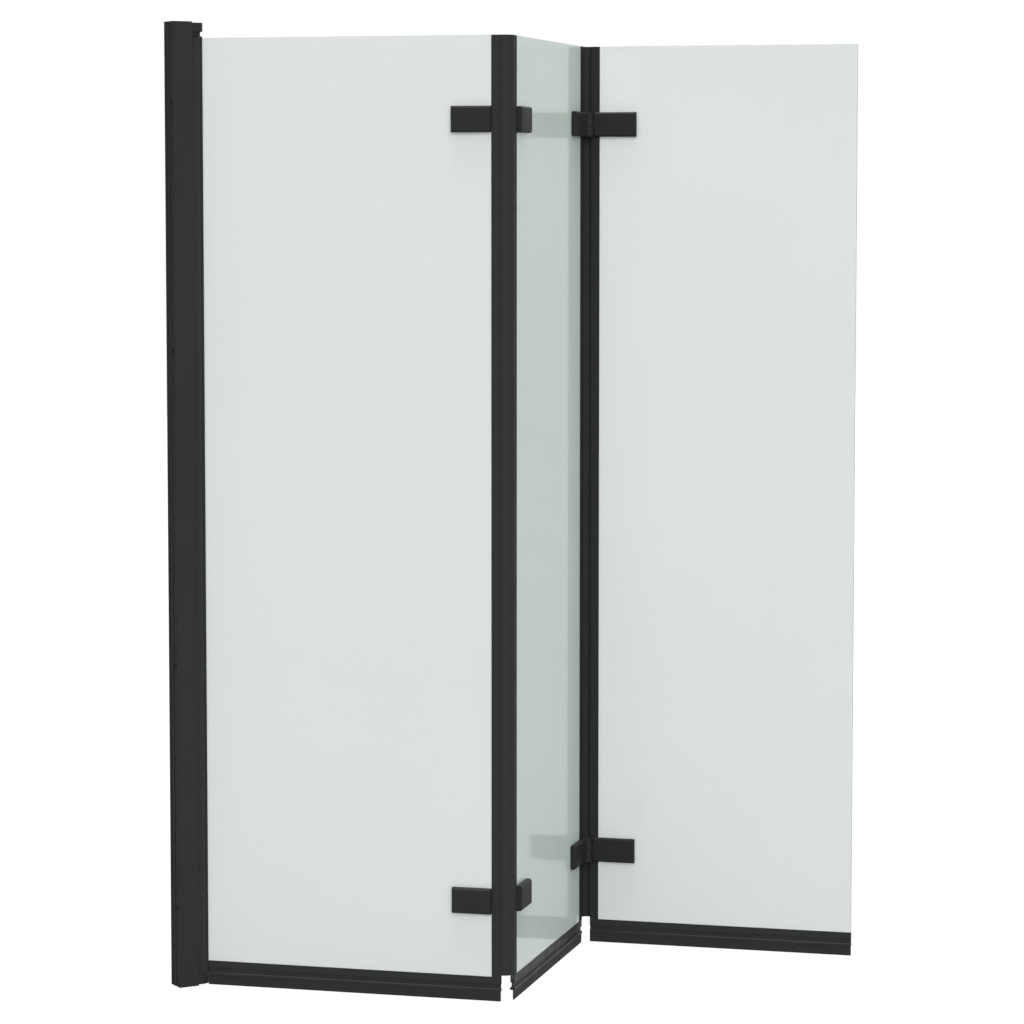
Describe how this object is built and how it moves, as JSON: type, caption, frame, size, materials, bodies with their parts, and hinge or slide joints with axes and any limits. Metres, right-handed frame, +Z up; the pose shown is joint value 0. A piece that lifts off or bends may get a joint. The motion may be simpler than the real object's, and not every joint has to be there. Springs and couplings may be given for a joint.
{
  "type": "folding bath screen",
  "caption": "Folding bath screen of frosted glass panels that swing from a black wall profile on pivots and fold on offset hinges with vertical seals.",
  "frame": {"origin": "bottom centre of the wall profile's back face, where it meets the wall", "axes": "+X straight out of the wall, +Y along the wall, +Z up; the first panel points between +X and -Y at rest"},
  "size_m": [0.9644, 0.3437, 1.38],
  "materials": {
    "frosted_glass": "satin milky glass with a glossy surface, 4 mm",
    "black_coated_metal": "matt black powder coat on aluminium and zinc",
    "black_seal": "smooth black co-extruded seal",
    "black_rubber": "soft black rubber",
    "cap_plastic": "matt black moulded plastic",
    "dark_nylon": "dark nylon",
    "plain_steel": "stainless steel"
  },
  "bodies": {
    "wall_frame": {"wall_channel": "black_coated_metal", "pivot_profile": "black_coated_metal", "adjusting_screws": "plain_steel", "top_cap": "cap_plastic", "bottom_cap": "cap_plastic", "top_pivot_block": "black_coated_metal", "bottom_pivot_block": "black_coated_metal", "top_pivot_pin": "plain_steel", "bottom_pivot_pin": "plain_steel"},
    "panel_1": {"glass_holder": "black_coated_metal", "holder_gasket": "black_rubber", "pivot_bushes": "dark_nylon", "glass_1": "frosted_glass", "bottom_rail_1": "black_coated_metal", "wiper_1": "black_rubber", "seal_clip_1_outer": "black_seal", "fold_1_seal_web": "black_seal", "fold_1_top_leaf_near": "black_coated_metal", "fold_1_bottom_leaf_near": "black_coated_metal", "fold_1_top_cover_near": "black_coated_metal", "fold_1_bottom_cover_near": "black_coated_metal", "fold_1_backings_near": "plain_steel", "glass_pads_1": "black_rubber", "clamp_screws_1": "plain_steel", "fold_1_top_pin": "plain_steel", "fold_1_bottom_pin": "plain_steel", "fold_1_washers": "dark_nylon"},
    "panel_2": {"glass_2": "frosted_glass", "bottom_rail_2": "black_coated_metal", "wiper_2": "black_rubber", "seal_clip_2_inner": "black_seal", "seal_clip_2_outer": "black_seal", "fold_2_seal_web": "black_seal", "fold_1_top_leaf_far": "black_coated_metal", "fold_1_bottom_leaf_far": "black_coated_metal", "fold_2_top_leaf_near": "black_coated_metal", "fold_2_bottom_leaf_near": "black_coated_metal", "fold_1_top_cover_far": "black_coated_metal", "fold_1_bottom_cover_far": "black_coated_metal", "fold_2_top_cover_near": "black_coated_metal", "fold_2_bottom_cover_near": "black_coated_metal", "fold_1_backings_far": "plain_steel", "fold_2_backings_near": "plain_steel", "glass_pads_2": "black_rubber", "clamp_screws_2": "plain_steel", "fold_2_top_pin": "plain_steel", "fold_2_bottom_pin": "plain_steel", "fold_2_washers": "dark_nylon"},
    "panel_3": {"glass_3": "frosted_glass", "bottom_rail_3": "black_coated_metal", "wiper_3": "black_rubber", "seal_clip_3_inner": "black_seal", "fold_2_top_leaf_far": "black_coated_metal", "fold_2_bottom_leaf_far": "black_coated_metal", "fold_2_top_cover_far": "black_coated_metal", "fold_2_bottom_cover_far": "black_coated_metal", "fold_2_backings_far": "plain_steel", "glass_pads_3": "black_rubber", "clamp_screws_3": "plain_steel"}
  },
  "joints": [
    {"name": "wall_pivot", "type": "hinge", "parent": "wall_frame", "child": "panel_1", "pos_m": [0.037, 0, 0.69], "axis": [0, 0, 1], "range_deg": [-45, 135]},
    {"name": "fold_1", "type": "hinge", "parent": "panel_1", "child": "panel_2", "pos_m": [0.3658, -0.31325, 0.69], "axis": [0, 0, 1], "range_deg": [-90, 85], "deforming": ["fold_1_seal_web"]},
    {"name": "fold_2", "type": "hinge", "parent": "panel_2", "child": "panel_3", "pos_m": [0.66845, -0.04172, 0.69], "axis": [0, 0, 1], "range_deg": [-85, 90], "deforming": ["fold_2_seal_web"]}
  ]
}
